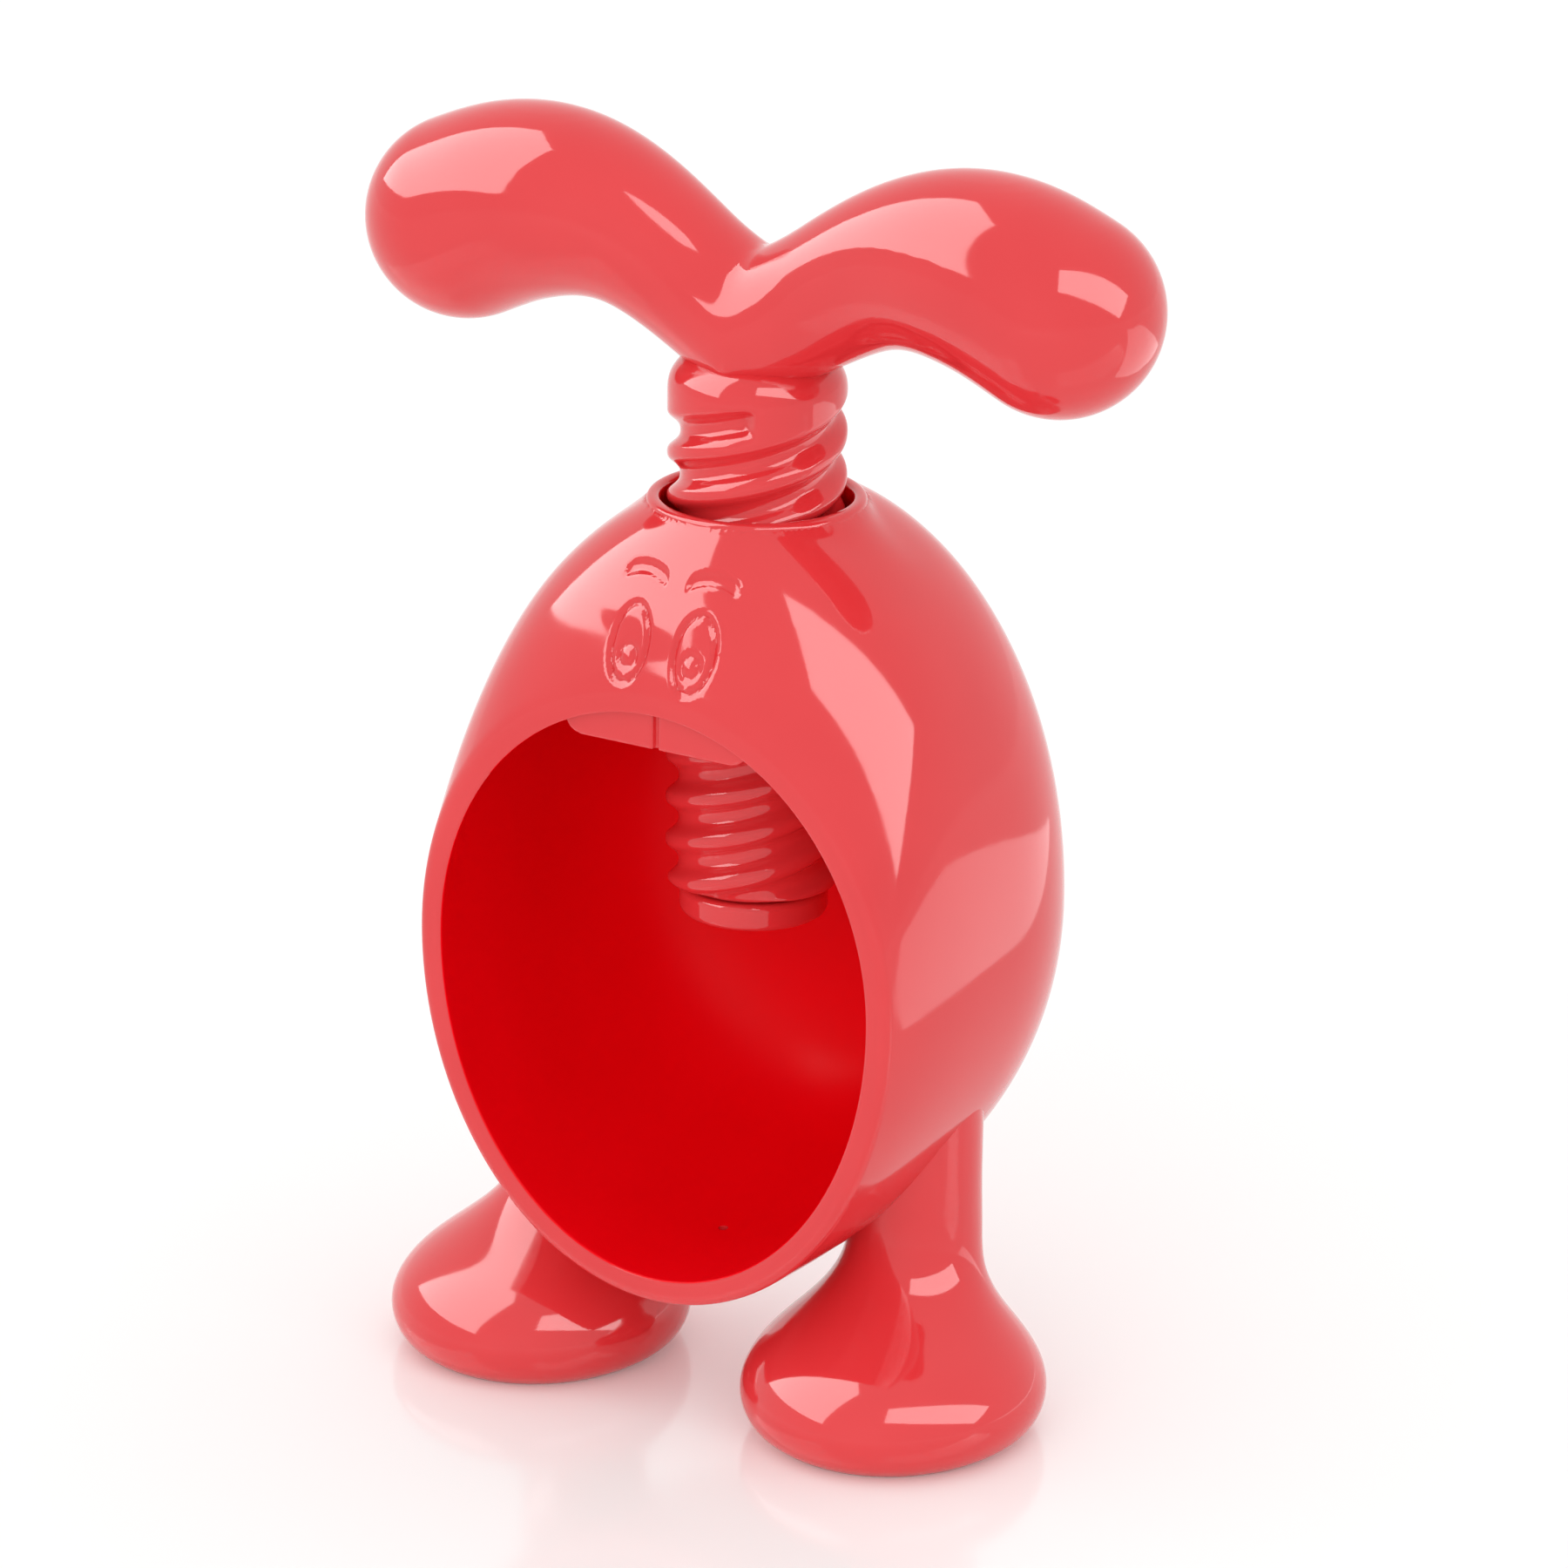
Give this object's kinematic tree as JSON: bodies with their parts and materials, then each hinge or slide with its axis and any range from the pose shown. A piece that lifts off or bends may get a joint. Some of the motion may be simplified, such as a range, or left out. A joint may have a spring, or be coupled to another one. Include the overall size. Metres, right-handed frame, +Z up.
{
  "type": "screw nutcracker",
  "caption": "Gloss red screw nutcracker shaped as a long-eared figure: a hollow egg body on feet with a wide mouth, and a threaded spindle turned by two ears.",
  "frame": {"origin": "on the floor, under the axis of the screw", "axes": "+Z up along the screw axis, -Y out of the mouth towards the user, +X to the viewer's right"},
  "size_m": [0.1004, 0.0533, 0.1484],
  "materials": {
    "body_plastic": "moulded, high gloss",
    "screw_plastic": "moulded, gloss",
    "handle_plastic": "moulded, high gloss",
    "leg_plastic": "moulded, high gloss",
    "sole_plastic": "moulded, matt",
    "screw_steel": "zinc plated"
  },
  "bodies": {
    "body": {"body_shell": "body_plastic", "tooth_plate": "body_plastic", "neck_bush": "body_plastic", "left_leg": "leg_plastic", "right_leg": "leg_plastic", "left_sole": "sole_plastic", "right_sole": "sole_plastic", "leg_screws": "screw_steel"},
    "press_foot": {"pressure_foot": "screw_plastic"},
    "screw": {"spindle": "screw_plastic", "ear_handle": "handle_plastic", "handle_screw": "screw_steel"}
  },
  "joints": [
    {"name": "screw_travel", "type": "slide", "parent": "body", "child": "press_foot", "axis": [0, 0, 1], "range_m": [-0.01352, 0.02602]},
    {"name": "screw_turn", "type": "hinge", "parent": "press_foot", "child": "screw", "pos_m": [0, 0, 0.0605], "axis": [0, 0, 1], "range_deg": [-312.74, 602.32]}
  ],
  "couplings": [
    {"joint": "screw_travel", "follows": "screw_turn", "m_per_rad": 0.0024733}
  ]
}
